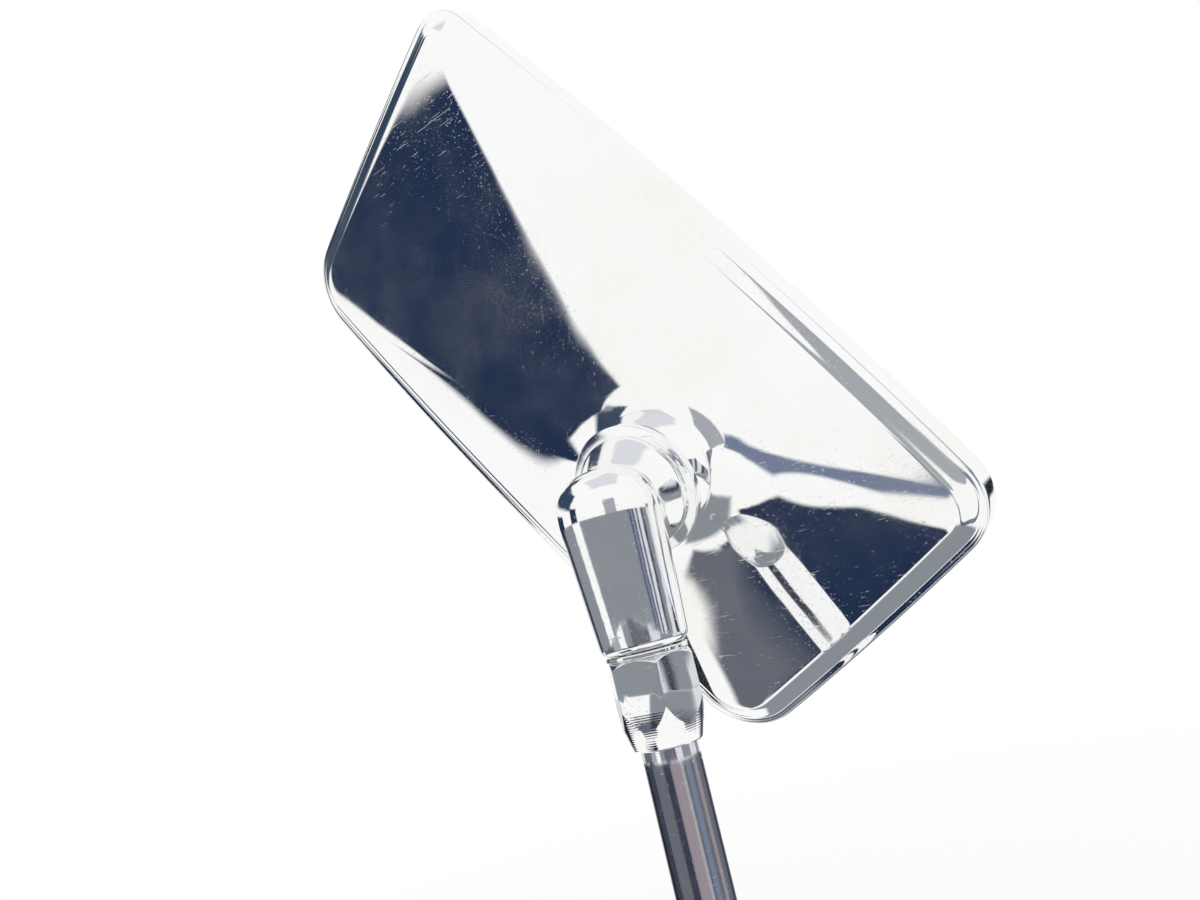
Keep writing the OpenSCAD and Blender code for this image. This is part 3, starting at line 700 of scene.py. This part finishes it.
def screen_colour(red, green, blue):
    """The shader's colour for a colour that is given as 0 to 255 on a screen."""
    def linear(value):
        share = value / 255
        return share / 12.92 if share <= 0.04045 else ((share + 0.055) / 1.055) ** 2.4
    return (linear(red), linear(green), linear(blue), 1)


# %% [markdown]
# Chrome has hardly any colour of its own: it shows the room. In a studio, the dark shapes in
# polished metal come from dark cards that stand round the object. Here a card is a soft-edged
# rectangle in the surround, given by the direction of its middle and its half width and height in
# degrees. One node group does the geometry, so a card is one line in the list below.

# %% The card group
card_group = bpy.data.node_groups.new("studio_card", "ShaderNodeTree")
for socket_type, socket_names in (
        ("NodeSocketVector", ("Direction", "Forward", "Across", "Up")),
        ("NodeSocketFloat", ("Half Width", "Half Height", "Softness", "Wobble"))):
    for socket_name in socket_names:
        card_group.interface.new_socket(socket_name, in_out="INPUT", socket_type=socket_type)
card_group.interface.new_socket("Mask", in_out="OUTPUT", socket_type="NodeSocketFloat")
given = card_group.nodes.new("NodeGroupInput").outputs
card_end = card_group.nodes.new("NodeGroupOutput")
ahead = vector_node(card_group, "DOT_PRODUCT", given["Direction"], given["Forward"])
safe_ahead = math_node(card_group, "MAXIMUM", ahead, 0.001)
ripple = noise_in(card_group, given["Direction"], 3.0, 3.0)
bend = math_node(card_group, "MULTIPLY", math_node(card_group, "SUBTRACT", ripple, 0.5),
                 given["Wobble"])
over = []
for axis, half in (("Across", "Half Width"), ("Up", "Half Height")):
    place = math_node(card_group, "DIVIDE",
                      vector_node(card_group, "DOT_PRODUCT", given["Direction"], given[axis]),
                      safe_ahead)
    place = math_node(card_group, "ABSOLUTE", math_node(card_group, "ADD", place, bend))
    over.append(math_node(card_group, "SUBTRACT", place, given[half]))
edge_distance = math_node(card_group, "MAXIMUM", over[0], over[1])
inside = math_node(card_group, "DIVIDE", edge_distance, given["Softness"])
card_mask = ramp_between(card_group, inside, -1.0, 1.0, 1.0, 0.0)
facing = math_node(card_group, "GREATER_THAN", ahead, 0.01)
card_group.links.new(math_node(card_group, "MULTIPLY", card_mask, facing), card_end.inputs[0])

# %% [markdown]
# The world gives each kind of ray its own answer. The camera sees plain white. Diffuse surfaces
# get an even, slightly softer white. Only reflections see the cards, so the background and the
# lighting stay plain. The card directions were read off the photograph: a chrome face shows the
# part of the room that lies in its mirror direction.

# %% World
# The studio's own few tones, which the cards and the strips share
AMBIENT = (0.82, 0.83, 0.84, 1)
PLAIN_WHITE = (1, 1, 1, 1)
WHITE = (253, 253, 252)
PALE = (220, 222, 228)
LIGHT_GREY = (165, 168, 174)
GREY = (136, 142, 148)
DIM_GREY = (100, 104, 114)
WARM_GREY = (150, 140, 148)
BLUE_GREY = (115, 125, 150)
BLUE = (76, 86, 126)
STEEL = (52, 68, 90)
SLATE = (56, 60, 76)
NAVY = (34, 48, 75)
DARK = (32, 36, 44)
STUDIO_CARDS = (
    # name, azimuth, elevation, half width, half height, roll, softness, wobble, tone
    ("overhead", 130, 80, 23, 20, 0, 4.0, 0.05, PALE),
    ("far backdrop", 42, -1, 9, 17, 0, 1.0, 0.05, NAVY),
    ("band backdrop", 0, 30, 33, 15, 0, 3.0, 0.10, STEEL),
    ("flare spot", 35, 22, 2.5, 4, 0, 1.5, 0.10, GREY),
    ("border backdrop", 29, -10, 7, 6, 0, 1.5, 0.05, NAVY),
    ("lower backdrop", -14, -4, 18, 12, 0, 1.5, 0.05, NAVY),
    ("side wall", 131, 8, 12, 14, 0, 1.0, 0.06, LIGHT_GREY),
    ("ground", 60, -90, 27, 27, 0, 4.0, 0.10, GREY),
    ("near backdrop", 69, -46, 9, 9, 0, 1.0, 0.08, NAVY),
    ("near ground", 46, -46, 9, 7, 0, 2.0, 0.08, DIM_GREY),
    ("near patch", 103, -16, 19, 4.5, 33, 1.5, 0.08, BLUE_GREY),
    ("side backdrop", -82, -36, 14, 16, 0, 3.0, 0.06, SLATE),
    ("right wall", -128, -10, 20, 14, 0, 3.0, 0.0, DIM_GREY),
    ("right edge", -107, -10, 5, 14, 0, 1.5, 0.0, DARK),
)

world = bpy.data.worlds.new("studio")
world.use_nodes = True
bpy.context.scene.world = world
sky = world.node_tree
ray_direction = sky.nodes.new("ShaderNodeTexCoord").outputs["Generated"]
studio = screen_colour(*WHITE)
for card_name, azimuth, elevation, half_width, half_height, roll, softness, wobble, tone in (
        STUDIO_CARDS):
    a, e = math.radians(azimuth), math.radians(elevation)
    forward = Vector((math.cos(e) * math.cos(a), math.cos(e) * math.sin(a), math.sin(e)))
    across = Vector((-math.sin(a), math.cos(a), 0))
    across.rotate(Quaternion(forward, math.radians(roll)))
    up = forward.cross(across)
    card = add_node(sky, "ShaderNodeGroup", node_tree=card_group)
    sky.links.new(ray_direction, card.inputs["Direction"])
    for key, value in (("Forward", forward), ("Across", across), ("Up", up),
                       ("Half Width", math.tan(math.radians(half_width))),
                       ("Half Height", math.tan(math.radians(half_height))),
                       ("Softness", math.tan(math.radians(softness))), ("Wobble", wobble)):
        card.inputs[key].default_value = value
    card.label = card_name
    studio = blend_colours(sky, card.outputs[0], studio, screen_colour(*tone))

ray = sky.nodes.new("ShaderNodeLightPath")
plain = blend_colours(sky, ray.outputs["Is Camera Ray"], AMBIENT, PLAIN_WHITE)
seen = blend_colours(sky, ray.outputs["Is Glossy Ray"], plain, studio)
sky.links.new(seen, sky.nodes["Background"].inputs["Color"])
print("studio cards:", len(STUDIO_CARDS))

# %% [markdown]
# The stem, the nut and the elbow are round, so they squeeze the whole room into upright streaks.
# Photographers give such parts their own strips close by. Three screens of strips stand round
# the stem, one above the other: the elbow sees the upper one, the nut the middle one and the rod
# the lower one. They show only on their inner side and only to reflections that come from the
# middle of the ring, ten centimetres away, so the head's faces look straight through them.

# %% Strip screens
SCREEN_RADIUS = 0.10
SHORTEST_SIGHT = 0.0895
ROD_FOOT_Z = -0.10
NUT_FOOT_Z = 0.060
ELBOW_FOOT_Z = 0.0785
ELBOW_TOP_Z = 0.120
CRISP = 0.0003
# Each strip has the angle round the stem at which it starts, and its tone
ELBOW_STRIPS = (
    (-35, PALE), (-18, SLATE), (0, GREY), (38, WHITE), (58, GREY), (164, BLUE), (168, GREY),
    (172, BLUE), (176, PALE), (180, SLATE), (184, PALE), (192, SLATE), (197, GREY),
    (208, PALE), (220, SLATE))
NUT_STRIPS = (
    (-45, PALE), (0, DIM_GREY), (45, LIGHT_GREY), (66, WHITE), (83, GREY), (100, DIM_GREY),
    (145, PALE), (170, GREY), (206, PALE), (240, GREY), (260, PALE))
ROD_STRIPS = (
    (-45, LIGHT_GREY), (-21, DARK), (6, SLATE), (36, DIM_GREY), (84, SLATE), (111, WARM_GREY),
    (150, LIGHT_GREY), (160, DIM_GREY), (170, BLUE_GREY), (190, DIM_GREY), (205, WARM_GREY),
    (222, DIM_GREY), (250, SLATE), (268, DIM_GREY))


def strip_screen(name, low, high, strips, end, blend, fade, longest_sight):
    """A curved screen of strips from the first strip's angle to the end's, in degrees.

    Blend is the width of the soft edges between strips, fade that of the foot and the top.
    Only reflections see it, from inside, over a way between the shortest and the longest sight.
    """
    bm = bmesh.new()
    bmesh.ops.create_circle(bm, segments=120, radius=SCREEN_RADIUS)
    lift = bmesh.ops.extrude_edge_only(bm, edges=bm.edges[:])["geom"]
    bmesh.ops.translate(bm, vec=(0, 0, high - low),
                        verts=[g for g in lift if isinstance(g, bmesh.types.BMVert)])
    bmesh.ops.translate(bm, vec=(0, 0, low), verts=bm.verts)
    start = strips[0][0]
    middle = math.radians((start + end) / 2)
    half = math.radians((end - start) / 2)
    open_side = [f for f in bm.faces if Vector((math.cos(middle), math.sin(middle), 0)).angle(
        Vector((*f.calc_center_median().to_2d(), 0))) > half]
    bmesh.ops.delete(bm, geom=open_side, context="FACES")
    bmesh.ops.recalc_face_normals(bm, faces=bm.faces)
    if bm.faces[:][0].normal.dot(bm.faces[:][0].calc_center_median()) < 0:
        bmesh.ops.reverse_faces(bm, faces=bm.faces)
    screen = object_from(name, bm)
    for ray_kind in ("camera", "diffuse", "shadow", "transmission", "volume_scatter"):
        setattr(screen, "visible_" + ray_kind, False)
    material, _, tree = new_material(name)
    tree.nodes.clear()
    place = add_node(tree, "ShaderNodeSeparateXYZ", {0: object_coords(tree)}).outputs
    around = math_node(tree, "ARCTAN2", place["Y"], place["X"])
    around = math_node(tree, "SUBTRACT", around, math.radians(start) - 4 * math.pi)
    around = math_node(tree, "MODULO", around, 2 * math.pi)
    share = math_node(tree, "DIVIDE", around, math.radians(end - start))
    ramp = add_node(tree, "ShaderNodeValToRGB", {"Fac": share})
    stops = ramp.color_ramp.elements
    stops[0].position, stops[-1].position = 0.0, 1.0
    stops[0].color, stops[-1].color = screen_colour(*strips[0][1]), screen_colour(*strips[-1][1])
    for (_, before), (edge, after) in zip(strips, strips[1:]):
        for degrees, tone in ((edge - blend / 2, before), (edge + blend / 2, after)):
            stops.new((degrees - start) / (end - start)).color = screen_colour(*tone)
    glow = add_node(tree, "ShaderNodeEmission", {"Color": ramp.outputs["Color"]})
    clear = tree.nodes.new("ShaderNodeBsdfTransparent")
    sight = tree.nodes.new("ShaderNodeLightPath").outputs["Ray Length"]
    inner = product(tree, tree.nodes.new("ShaderNodeNewGeometry").outputs["Backfacing"],
                    ramp_between(tree, place["Z"], low, low + fade[0]),
                    ramp_between(tree, place["Z"], high - fade[1], high, 1.0, 0.0),
                    math_node(tree, "GREATER_THAN", sight, SHORTEST_SIGHT),
                    math_node(tree, "LESS_THAN", sight, longest_sight))
    shown = add_node(tree, "ShaderNodeMixShader",
                     {0: inner, 1: clear.outputs[0], 2: glow.outputs[0]})
    output = tree.nodes.new("ShaderNodeOutputMaterial")
    tree.links.new(shown.outputs[0], output.inputs["Surface"])
    screen.data.materials.append(material)


strip_screen("elbow_screen", ELBOW_FOOT_Z, ELBOW_TOP_Z, ELBOW_STRIPS, 230, 3, (CRISP, 0.004),
             0.0995)
strip_screen("nut_screen", NUT_FOOT_Z, ELBOW_FOOT_Z, NUT_STRIPS, 275, 3, (CRISP, CRISP), 0.104)
strip_screen("rod_screen", ROD_FOOT_Z, NUT_FOOT_Z, ROD_STRIPS, 285, 6, (0.02, CRISP), 0.106)
print("strips:", len(ELBOW_STRIPS), len(NUT_STRIPS), len(ROD_STRIPS))

# %% [markdown]
# The floor turns to plain white further out, so that it has no edge against the background.

# %% Floor finish
FLOOR_GLOW = 0.8
GLOW_NEAR = 0.12
GLOW_FAR = 0.5
floor_material, matte, tree = new_material("pale_floor", Base_Color=(0.9, 0.9, 0.9, 1),
                                           Roughness=1.0)
glow = add_node(tree, "ShaderNodeEmission", {"Color": PLAIN_WHITE})
ray = tree.nodes.new("ShaderNodeLightPath")
away = vector_node(tree, "LENGTH", object_coords(tree))
share = ramp_between(tree, away, GLOW_NEAR, GLOW_FAR, FLOOR_GLOW, 1.0)
share = math_node(tree, "MULTIPLY", share, ray.outputs["Is Camera Ray"])
mixed = add_node(tree, "ShaderNodeMixShader", {0: share, 1: matte.outputs[0], 2: glow.outputs[0]})
tree.links.new(mixed.outputs[0], tree.nodes["Material Output"].inputs["Surface"])
floor.data.materials.append(floor_material)

# %% [markdown]
# Effects that several finishes share are node groups with named inputs. The first is the film that
# settles on chrome: soft clouds, a fine grain, and a few brighter specks. It reads the object's
# own coordinates in metres, so a size is the real size of a cloud or a speck.


# %% The dust film group
def new_group(name, inputs, outputs):
    group = bpy.data.node_groups.new(name, "ShaderNodeTree")
    for socket_name, value in inputs.items():
        socket = group.interface.new_socket(socket_name, in_out="INPUT",
                                            socket_type="NodeSocketFloat")
        socket.default_value = value
    for socket_name in outputs:
        group.interface.new_socket(socket_name, in_out="OUTPUT", socket_type="NodeSocketFloat")
    given = group.nodes.new("NodeGroupInput").outputs
    result = group.nodes.new("NodeGroupOutput").inputs
    return group, given, result, object_coords(group)


film_group, given, result, coords = new_group(
    "dust_film", {"Cloud Size": 0.02, "Amount": 0.5, "Speck Spacing": 0.006, "Speck Share": 0.2},
    ("Film", "Specks"))
cloud_scale = math_node(film_group, "DIVIDE", 1.0, given["Cloud Size"])
cloud = ramp_between(film_group, noise_in(film_group, coords, cloud_scale, 7.0, 0.66), 0.40, 0.72)
grain = noise_in(film_group, coords, 1600.0, 3.0, 0.6)
grain = ramp_between(film_group, grain, 0.3, 0.75, 0.45, 1.0)
film_group.links.new(product(film_group, cloud, grain, given["Amount"]), result["Film"])
speck_scale = math_node(film_group, "DIVIDE", 1.0, given["Speck Spacing"])
cells = add_node(film_group, "ShaderNodeTexVoronoi", {"Vector": coords, "Scale": speck_scale})
chosen = add_node(film_group, "ShaderNodeSeparateColor", {0: cells.outputs["Color"]}).outputs
picked = math_node(film_group, "LESS_THAN", chosen["Red"], given["Speck Share"])
size = ramp_between(film_group, chosen["Green"], 0.0, 1.0, 0.02, 0.075)
dot = math_node(film_group, "LESS_THAN", cells.outputs["Distance"], size)
film_group.links.new(math_node(film_group, "MULTIPLY", dot, picked), result["Specks"])

# %% [markdown]
# The second group gives the marks of polishing and use. Noise that is stretched a long way in one
# direction turns into hairlines where it crosses the surface. Two sets cross each other, and a
# slow third noise makes the skin a little wavy, as plating is. It puts out a height for Bump.

# %% The polish marks group
mark_group, given, result, coords = new_group(
    "polish_marks", {"Hairlines": 0.3, "Wave Size": 0.012, "Waviness": 0.5}, ("Height", "Marks"))
sets = []
for turned, stretch in (((0.3, 0.9, 0.2), (90, 2600, 2600)), ((0.9, -0.4, 1.1), (2200, 70, 2200))):
    laid = add_node(mark_group, "ShaderNodeMapping",
                    {"Vector": coords, "Rotation": turned, "Scale": stretch})
    lines = noise_in(mark_group, laid.outputs[0], 1.0, 2.0)
    sets.append(ramp_between(mark_group, lines, 0.66, 0.74))
marks = math_node(mark_group, "MAXIMUM", sets[0], sets[1])
marks = math_node(mark_group, "MULTIPLY", marks, given["Hairlines"])
wave_scale = math_node(mark_group, "DIVIDE", 1.0, given["Wave Size"])
wave = product(mark_group, noise_in(mark_group, coords, wave_scale, 1.5), given["Waviness"])
mark_group.links.new(math_node(mark_group, "SUBTRACT", wave,
                               math_node(mark_group, "MULTIPLY", marks, 0.12)), result["Height"])
mark_group.links.new(marks, result["Marks"])

# %% [markdown]
# A grain group serves rubber, plastic, foam and the plain metals: a mottle for the colour and a
# height.

# %% The grain group
grain_group, given, result, coords = new_group(
    "moulded_grain", {"Grain Size": 0.0006, "Mottle Size": 0.01}, ("Height", "Mottle"))
fine_scale = math_node(grain_group, "DIVIDE", 1.0, given["Grain Size"])
broad_scale = math_node(grain_group, "DIVIDE", 1.0, given["Mottle Size"])
broad = noise_in(grain_group, coords, broad_scale, 5.0)
grain_group.links.new(noise_in(grain_group, coords, fine_scale, 3.0), result["Height"])
grain_group.links.new(ramp_between(grain_group, broad, 0.3, 0.7), result["Mottle"])


# %% Helpers for materials
def use_group(tree, group, **values):
    node = add_node(tree, "ShaderNodeGroup", node_tree=group)
    for socket, value in values.items():
        node.inputs[socket.replace("_", " ")].default_value = value
    return node.outputs


def add_bump(tree, shader, height, depth, strength=1.0):
    bump = add_node(tree, "ShaderNodeBump", {"Height": height, "Distance": depth,
                                             "Strength": strength})
    tree.links.new(bump.outputs[0], shader.inputs["Normal"])


def dress(material, *objects):
    """Puts one material on all slots of some objects."""
    for obj in objects:
        if not obj.material_slots:
            obj.data.materials.append(material)
        for material_slot in obj.material_slots:
            material_slot.material = material


# %% [markdown]
# Chrome is a metal with an almost white colour and a low roughness. What makes it look used is
# small: where the film lies, a few per cent of the surface answers as dust instead of metal, which
# lifts the dark reflections into a soft haze, and the gloss drops a little.

# %% Chrome
CHROME_WHITE = (0.96, 0.965, 0.97, 1)
DUST_TONE = (0.88, 0.85, 0.78, 1)
DUST_SHARE = 0.12
DUST_DULLS = 0.16
RING_DEPTH = 0.03
BUMP_DEPTH = 0.0001


def chrome_material(name, film_amount, cloud_size, speck_share, hairlines, waviness, wave_size,
                    gloss, turned_pitch=0.0, turned_top=0.0):
    material, shader, tree = new_material(name)
    film = use_group(tree, film_group, Amount=film_amount, Cloud_Size=cloud_size,
                     Speck_Share=speck_share)
    marks = use_group(tree, mark_group, Hairlines=hairlines, Waviness=waviness,
                      Wave_Size=wave_size)
    dusty = math_node(tree, "MAXIMUM", film["Film"],
                      math_node(tree, "MULTIPLY", film["Specks"], 0.6))
    tone = blend_colours(tree, dusty, CHROME_WHITE, DUST_TONE)
    tree.links.new(tone, shader.inputs["Base Color"])
    metal = math_node(tree, "MULTIPLY_ADD", dusty, -DUST_SHARE)
    metal.node.inputs[2].default_value = 1.0
    tree.links.new(metal, shader.inputs["Metallic"])
    dull = math_node(tree, "MULTIPLY", math_node(tree, "MAXIMUM", dusty, marks["Marks"]), DUST_DULLS)
    tree.links.new(math_node(tree, "ADD", dull, gloss), shader.inputs["Roughness"])
    height = marks["Height"]
    if turned_pitch:
        up = add_node(tree, "ShaderNodeSeparateXYZ", {0: object_coords(tree)}).outputs["Z"]
        turned = math_node(tree, "SINE", product(tree, up, 2 * math.pi / turned_pitch))
        below = math_node(tree, "LESS_THAN", up, turned_top)
        height = math_node(tree, "ADD", height, product(tree, turned, below, RING_DEPTH))
    add_bump(tree, shader, height, BUMP_DEPTH)
    return material


shell_chrome = chrome_material("shell_chrome", 0.5, 0.03, 0.05, 0.25, 0.8, 0.02, 0.02)
cast_chrome = chrome_material("cast_chrome", 0.35, 0.012, 0.10, 0.5, 0.5, 0.006, 0.06)
nut_chrome = chrome_material("nut_chrome", 0.30, 0.008, 0.10, 0.5, 0.12, 0.005, 0.04,
                             0.0004, (taper_top - 1.0) * MM)
rod_chrome = chrome_material("rod_chrome", 0.25, 0.02, 0.12, 0.5, 0.25, 0.010, 0.04)
dress(shell_chrome, housing)
dress(cast_chrome, elbow, collar, lock_washer)
dress(nut_chrome, lock_nut)
dress(rod_chrome, stem)

# %% [markdown]
# The lower washer and nut are zinc plated: softer than chrome, with a bluish and straw-coloured
# bloom. The steel of the ball and the spring is bare and turned. Both are metals, so only their
# colour, roughness and bump differ.


# %% Zinc and steel
def plain_metal(name, colour, other, roughness, mottle_size, depth):
    material, shader, tree = new_material(name, Metallic=1.0)
    grain = use_group(tree, grain_group, Grain_Size=0.0004, Mottle_Size=mottle_size)
    tree.links.new(blend_colours(tree, grain["Mottle"], colour, other),
                   shader.inputs["Base Color"])
    rough = ramp_between(tree, grain["Mottle"], 0.0, 1.0, roughness, roughness + 0.12)
    tree.links.new(rough, shader.inputs["Roughness"])
    add_bump(tree, shader, grain["Height"], depth, 0.6)
    return material


zinc_plate = plain_metal("zinc_plate", (0.62, 0.65, 0.70, 1), (0.70, 0.68, 0.58, 1), 0.26,
                         0.004, 0.00004)
hard_steel = plain_metal("hard_steel", (0.56, 0.56, 0.57, 1), (0.46, 0.47, 0.50, 1), 0.20,
                         0.003, 0.00002)
nodes = frame["nodes"]
dress(zinc_plate, lower_washer, lower_lock_nut, nodes["pressure_plate"], nodes["plate_screws"])
dress(hard_steel, nodes["ball_stud"], nodes["disc_spring"])

# %% [markdown]
# The soft and moulded parts share the grain group. Rubber is nearly black and dull with a grey
# bloom, the nylon seats are milky, the shield and the carrier are black moulded plastic, and the
# foam is grey with open pores, for which a cell pattern gives the height.


# %% Rubber, plastics and foam
def moulded(name, colour, other, roughness, grain_size, depth, **values):
    material, shader, tree = new_material(name, **values)
    grain = use_group(tree, grain_group, Grain_Size=grain_size, Mottle_Size=0.008)
    tree.links.new(blend_colours(tree, grain["Mottle"], colour, other),
                   shader.inputs["Base Color"])
    rough = ramp_between(tree, grain["Mottle"], 0.0, 1.0, roughness, roughness + 0.15)
    tree.links.new(rough, shader.inputs["Roughness"])
    add_bump(tree, shader, grain["Height"], depth, 0.5)
    return material, shader, tree


rubber = moulded("seal_rubber", (0.018, 0.018, 0.019, 1), (0.040, 0.039, 0.038, 1), 0.50,
                 0.0005, 0.00006)[0]
shield_plastic = moulded("shield_plastic", (0.022, 0.022, 0.024, 1), (0.034, 0.034, 0.036, 1),
                         0.38, 0.0004, 0.00004)[0]
carrier_plastic = moulded("carrier_plastic", (0.028, 0.028, 0.030, 1),
                          (0.045, 0.045, 0.048, 1), 0.42, 0.0006, 0.00006)[0]
nylon = moulded("nylon", (0.80, 0.78, 0.70, 1), (0.72, 0.70, 0.62, 1), 0.34, 0.0005, 0.00003,
                Subsurface_Weight=0.15)[0]
foam, foam_shader, foam_tree = moulded("foam", (0.10, 0.10, 0.105, 1), (0.17, 0.17, 0.175, 1),
                                       0.80, 0.0005, 0.0002)
pores = add_node(foam_tree, "ShaderNodeTexVoronoi",
                 {"Vector": object_coords(foam_tree), "Scale": 1400.0})
add_bump(foam_tree, foam_shader, pores.outputs["Distance"], 0.0004, 0.9)
dress(rubber, seal)
dress(shield_plastic, nodes["dust_shield"])
dress(carrier_plastic, nodes["glass_carrier"])
dress(nylon, nodes["ball_seat_front"], nodes["ball_seat_rear"])
dress(foam, nodes["foam_pad"])

# %% [markdown]
# The mirror is glass with a silvered back. A metal with a clear coat gives the same double layer:
# the bright image, and the faint gloss of the glass over it. Dust dulls it only in places.

# %% Mirror
silver, silver_shader, silver_tree = new_material(
    "mirror_silver", Metallic=1.0, Coat_Weight=1.0, Coat_Roughness=0.01, Coat_IOR=1.52)
film = use_group(silver_tree, film_group, Amount=0.35, Cloud_Size=0.035, Speck_Share=0.04)
silver_tree.links.new(blend_colours(silver_tree, film["Film"], (0.88, 0.91, 0.92, 1),
                                    (0.80, 0.82, 0.82, 1)), silver_shader.inputs["Base Color"])
silver_tree.links.new(ramp_between(silver_tree, film["Film"], 0.0, 1.0, 0.006, 0.06),
                      silver_shader.inputs["Roughness"])
dress(silver, glass)
print("materials:", sorted(m.name for m in bpy.data.materials if m.users))
